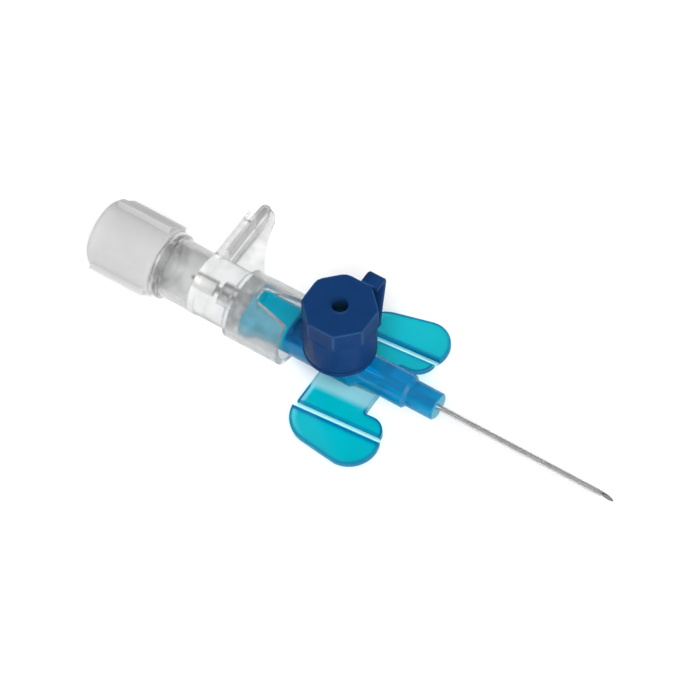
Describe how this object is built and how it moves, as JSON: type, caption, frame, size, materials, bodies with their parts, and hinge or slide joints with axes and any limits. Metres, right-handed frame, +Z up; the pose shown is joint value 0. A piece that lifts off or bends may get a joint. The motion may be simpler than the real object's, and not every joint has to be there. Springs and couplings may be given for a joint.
{
  "type": "intravenous cannula",
  "caption": "Winged intravenous cannula with a capped injection port, a steel needle in a clear finger-grip hub and a screw-on vent cap.",
  "frame": {"origin": "centre of the front face of the cannula hub's nose, where the catheter leaves it", "axes": "+X along the catheter to its tip, +Y towards the finger grip, +Z up through the injection port"},
  "size_m": [0.0806, 0.0281, 0.0176],
  "materials": {
    "hub_blue": "glossy, slightly clear blue moulding",
    "valve_silicone": "soft, pale",
    "catheter_clear": "thin clear tube",
    "bush_steel": "bright",
    "wing_cyan": "flexible clear cyan sheet",
    "cap_navy": "satin navy moulding",
    "needle_steel": "drawn steel",
    "adhesive": "clear",
    "clear_plastic": "clear polished moulding",
    "frosted_white": "frosted, milky",
    "filter_white": "porous disc"
  },
  "bodies": {
    "cannula": {"cannula_hub": "hub_blue", "silicone_valve": "valve_silicone", "catheter_tube": "catheter_clear", "catheter_bush": "bush_steel"},
    "far_flap": {"wing_far": "wing_cyan"},
    "near_flap": {"wing_near": "wing_cyan"},
    "swivel": {"cap_ring": "cap_navy", "cap_strap": "cap_navy"},
    "stopper": {"port_cap": "cap_navy"},
    "needle_unit": {"needle": "needle_steel", "needle_bond": "adhesive", "needle_hub": "clear_plastic"},
    "vent_disc": {"vent_filter": "filter_white"},
    "vent_plug": {"vent_cap": "frosted_white"}
  },
  "joints": [
    {"name": "far_wing_fold", "type": "hinge", "parent": "cannula", "child": "far_flap", "pos_m": [-0.01543, 0.00723, -0.0046], "axis": [0.9895, 0, 0.1444], "range_deg": [0, 65], "stiffness_Nm_per_rad": 0.002},
    {"name": "near_wing_fold", "type": "hinge", "parent": "cannula", "child": "near_flap", "pos_m": [-0.01543, -0.00723, -0.0046], "axis": [-0.9895, 0, -0.1444], "range_deg": [0, 65], "stiffness_Nm_per_rad": 0.002},
    {"name": "cap_swivel", "type": "hinge", "parent": "cannula", "child": "swivel", "pos_m": [-0.01553, 0, 0.0025], "axis": [0, 0, 1], "continuous": true},
    {"name": "cap_lift", "type": "slide", "parent": "swivel", "child": "stopper", "axis": [0, 0, 1], "range_m": [0, 0.005], "deforming": ["cap_strap"]},
    {"name": "needle_withdraw", "type": "slide", "parent": "cannula", "child": "needle_unit", "axis": [-1, 0, 0], "range_m": [0, 0.06]},
    {"name": "vent_backout", "type": "slide", "parent": "needle_unit", "child": "vent_disc", "axis": [-1, 0, 0], "range_m": [0, 0.0037]},
    {"name": "vent_unscrew", "type": "hinge", "parent": "vent_disc", "child": "vent_plug", "pos_m": [-0.0518, 0, 0], "axis": [-1, 0, 0], "range_deg": [0, 270]}
  ],
  "couplings": [
    {"joint": "vent_unscrew", "follows": "vent_backout", "rad_per_m": 1256.6}
  ]
}
